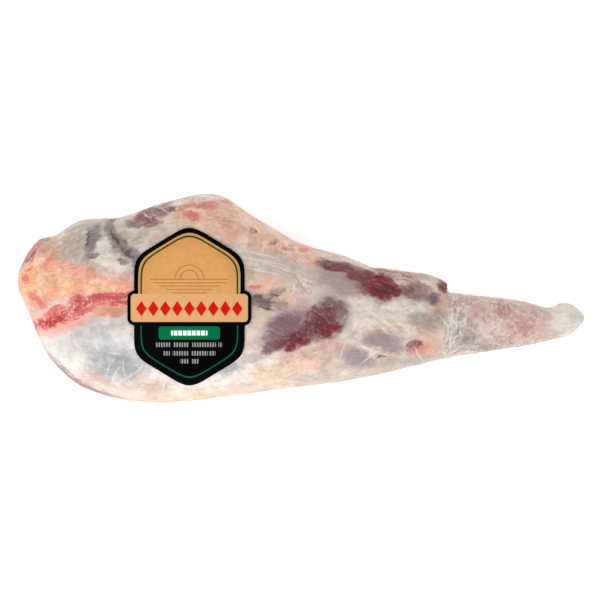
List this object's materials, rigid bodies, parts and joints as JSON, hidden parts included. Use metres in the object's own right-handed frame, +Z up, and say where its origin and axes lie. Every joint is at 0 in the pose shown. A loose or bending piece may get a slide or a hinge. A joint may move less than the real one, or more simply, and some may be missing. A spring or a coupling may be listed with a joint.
{
  "type": "raw leg of lamb in clear film",
  "caption": "Raw bone-in leg of lamb with its shank, lying on its side in tight clear film, with a printed label on top.",
  "frame": {"origin": "middle of the bounding box at the height of the table that the leg lies on", "axes": "+Z up; +X from the rump to the shank; +Y towards the back of the thigh, the side with the calf"},
  "size_m": [0.4396, 0.1628, 0.099],
  "materials": {
    "wrapped_leg": "raw lamb fat, silverskin and muscle under tight glossy clear film",
    "label_print": "printed film label, tan above, black below, satin"
  },
  "bodies": {
    "root": {"wrapped_leg": "wrapped_leg", "label": "label_print"}
  },
  "joints": []
}
